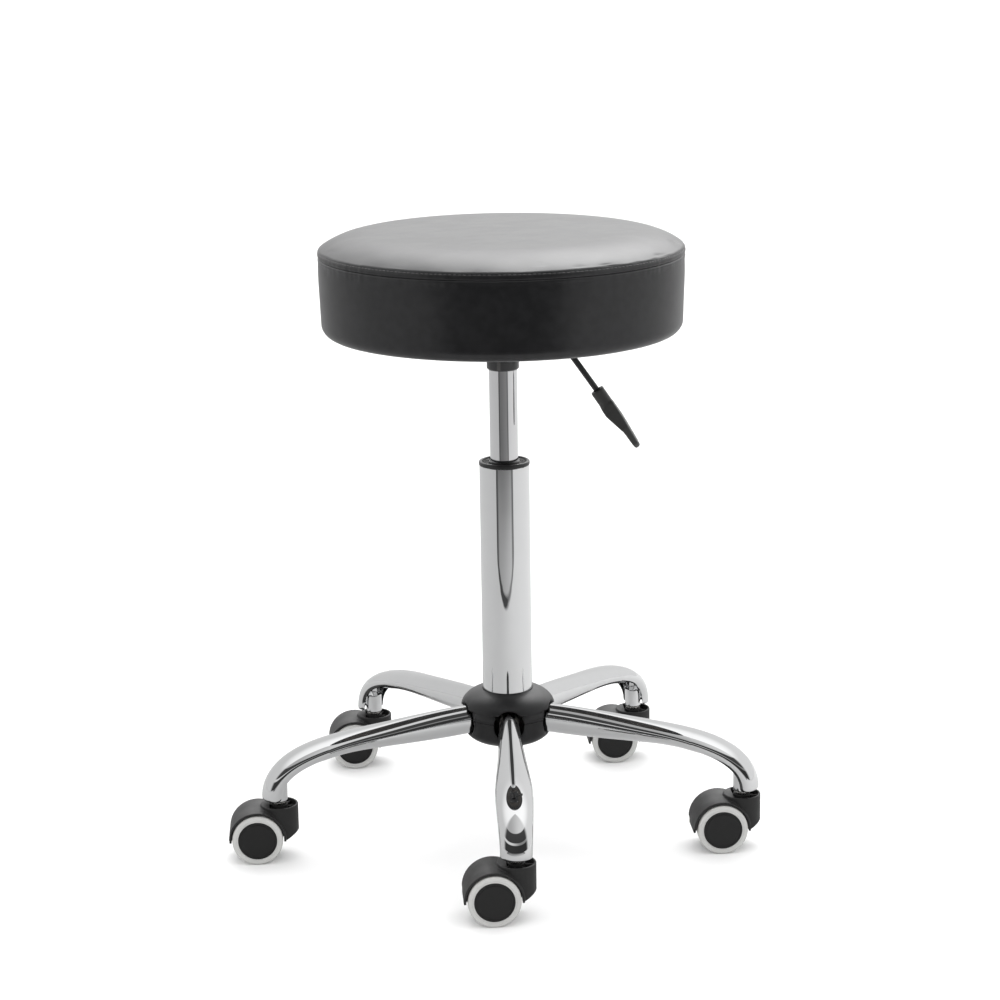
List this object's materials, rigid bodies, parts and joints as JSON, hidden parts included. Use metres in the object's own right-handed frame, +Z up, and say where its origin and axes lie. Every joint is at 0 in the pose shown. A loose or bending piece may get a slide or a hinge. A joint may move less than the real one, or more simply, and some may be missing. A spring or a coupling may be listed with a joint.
{
  "type": "rolling stool",
  "caption": "Round padded stool on a gas lift with a release lever, a chromed star base and hooded twin-wheel swivel casters.",
  "frame": {"origin": "on the floor, under the axis of the column", "axes": "+Z up along the column, +X towards the release lever at rest, the front arm towards -Y"},
  "size_m": [0.5304, 0.4909, 0.611],
  "materials": {
    "vinyl": "black vinyl, fine grain, soft sheen",
    "foam": "cut polyurethane foam",
    "plywood": "plywood, stained black",
    "chrome": "polished chrome plate",
    "lift_chrome": "satin hard chrome on the gas cylinder",
    "bright_steel": "zinc-plated steel",
    "dark_steel": "oiled bare steel",
    "black_paint": "black powder coat",
    "hub_plastic": "moulded black plastic, fine texture",
    "bush_plastic": "black plastic",
    "handle_plastic": "moulded black plastic",
    "hood_plastic": "moulded black nylon",
    "wheel_plastic": "smooth black nylon",
    "tread": "light grey soft polyurethane tread",
    "rubber": "black rubber"
  },
  "bodies": {
    "base": {"hub_upper_cover": "hub_plastic", "hub_lower_cover": "hub_plastic", "hub_sleeve": "dark_steel", "caster_sockets": "chrome", "caster_stems": "bright_steel", "stem_grip_rings": "dark_steel", "column_tube": "chrome", "column_bush": "bush_plastic", "bush_ring": "chrome", "thrust_bearing": "bright_steel", "arm_front": "chrome", "arm_right": "chrome", "arm_back_right": "chrome", "arm_back_left": "chrome", "arm_left": "chrome"},
    "lift_rod": {"piston_rod": "bright_steel", "bearing_upper_race": "bright_steel", "retaining_clip": "dark_steel", "bumper": "rubber"},
    "seat": {"gas_cylinder": "lift_chrome", "seat_socket": "black_paint", "seat_plate": "black_paint", "plate_bolts": "bright_steel", "lever_pivot_pin": "bright_steel", "seat_board": "plywood", "seat_foam": "foam", "seat_cover": "vinyl"},
    "lever": {"lever_rod": "black_paint", "lever_handle": "handle_plastic"},
    "button": {"release_button": "dark_steel"},
    "caster_front": {"hood_front": "hood_plastic", "axle_front": "bright_steel"},
    "roller_a_front": {"wheel_a_front": "wheel_plastic", "tyre_a_front": "tread"},
    "roller_b_front": {"wheel_b_front": "wheel_plastic", "tyre_b_front": "tread"},
    "caster_right": {"hood_right": "hood_plastic", "axle_right": "bright_steel"},
    "roller_a_right": {"wheel_a_right": "wheel_plastic", "tyre_a_right": "tread"},
    "roller_b_right": {"wheel_b_right": "wheel_plastic", "tyre_b_right": "tread"},
    "caster_back_right": {"hood_back_right": "hood_plastic", "axle_back_right": "bright_steel"},
    "roller_a_back_right": {"wheel_a_back_right": "wheel_plastic", "tyre_a_back_right": "tread"},
    "roller_b_back_right": {"wheel_b_back_right": "wheel_plastic", "tyre_b_back_right": "tread"},
    "caster_back_left": {"hood_back_left": "hood_plastic", "axle_back_left": "bright_steel"},
    "roller_a_back_left": {"wheel_a_back_left": "wheel_plastic", "tyre_a_back_left": "tread"},
    "roller_b_back_left": {"wheel_b_back_left": "wheel_plastic", "tyre_b_back_left": "tread"},
    "caster_left": {"hood_left": "hood_plastic", "axle_left": "bright_steel"},
    "roller_a_left": {"wheel_a_left": "wheel_plastic", "tyre_a_left": "tread"},
    "roller_b_left": {"wheel_b_left": "wheel_plastic", "tyre_b_left": "tread"}
  },
  "joints": [
    {"name": "seat_swivel", "type": "hinge", "parent": "base", "child": "lift_rod", "pos_m": [0, 0, 0.095], "axis": [0, 0, 1], "continuous": true},
    {"name": "seat_lift", "type": "slide", "parent": "lift_rod", "child": "seat", "axis": [0, 0, 1], "range_m": [-0.08, 0.035]},
    {"name": "lever_lift", "type": "hinge", "parent": "seat", "child": "lever", "pos_m": [0.022, 0, 0.503], "axis": [0, -1, 0], "range_deg": [0, 8]},
    {"name": "button_press", "type": "slide", "parent": "seat", "child": "button", "axis": [0, 0, -1], "range_m": [0, 0.0032]},
    {"name": "swivel_front", "type": "hinge", "parent": "base", "child": "caster_front", "pos_m": [0.00532, -0.24194, 0.055], "axis": [0, 0, 1], "continuous": true},
    {"name": "roll_a_front", "type": "hinge", "parent": "caster_front", "child": "roller_a_front", "pos_m": [-0.01663, -0.24338, 0.025], "axis": [-0.0654, 0.9979, 0], "continuous": true},
    {"name": "roll_b_front", "type": "hinge", "parent": "caster_front", "child": "roller_b_front", "pos_m": [-0.01663, -0.24338, 0.025], "axis": [-0.0654, 0.9979, 0], "continuous": true},
    {"name": "swivel_right", "type": "hinge", "parent": "base", "child": "caster_right", "pos_m": [0.23174, -0.0697, 0.055], "axis": [0, 0, 1], "continuous": true},
    {"name": "roll_a_right", "type": "hinge", "parent": "caster_right", "child": "roller_a_right", "pos_m": [0.20979, -0.07114, 0.025], "axis": [-0.0654, 0.9979, 0], "continuous": true},
    {"name": "roll_b_right", "type": "hinge", "parent": "caster_right", "child": "roller_b_right", "pos_m": [0.20979, -0.07114, 0.025], "axis": [-0.0654, 0.9979, 0], "continuous": true},
    {"name": "swivel_back_right", "type": "hinge", "parent": "base", "child": "caster_back_right", "pos_m": [0.1379, 0.19886, 0.055], "axis": [0, 0, 1], "continuous": true},
    {"name": "roll_a_back_right", "type": "hinge", "parent": "caster_back_right", "child": "roller_a_back_right", "pos_m": [0.11595, 0.19742, 0.025], "axis": [-0.0654, 0.9979, 0], "continuous": true},
    {"name": "roll_b_back_right", "type": "hinge", "parent": "caster_back_right", "child": "roller_b_back_right", "pos_m": [0.11595, 0.19742, 0.025], "axis": [-0.0654, 0.9979, 0], "continuous": true},
    {"name": "swivel_back_left", "type": "hinge", "parent": "base", "child": "caster_back_left", "pos_m": [-0.14652, 0.19261, 0.055], "axis": [0, 0, 1], "continuous": true},
    {"name": "roll_a_back_left", "type": "hinge", "parent": "caster_back_left", "child": "roller_a_back_left", "pos_m": [-0.16847, 0.19117, 0.025], "axis": [-0.0654, 0.9979, 0], "continuous": true},
    {"name": "roll_b_back_left", "type": "hinge", "parent": "caster_back_left", "child": "roller_b_back_left", "pos_m": [-0.16847, 0.19117, 0.025], "axis": [-0.0654, 0.9979, 0], "continuous": true},
    {"name": "swivel_left", "type": "hinge", "parent": "base", "child": "caster_left", "pos_m": [-0.22846, -0.07982, 0.055], "axis": [0, 0, 1], "continuous": true},
    {"name": "roll_a_left", "type": "hinge", "parent": "caster_left", "child": "roller_a_left", "pos_m": [-0.25041, -0.08126, 0.025], "axis": [-0.0654, 0.9979, 0], "continuous": true},
    {"name": "roll_b_left", "type": "hinge", "parent": "caster_left", "child": "roller_b_left", "pos_m": [-0.25041, -0.08126, 0.025], "axis": [-0.0654, 0.9979, 0], "continuous": true}
  ],
  "couplings": [
    {"joint": "button_press", "follows": "lever_lift", "m_per_rad": 0.022}
  ]
}
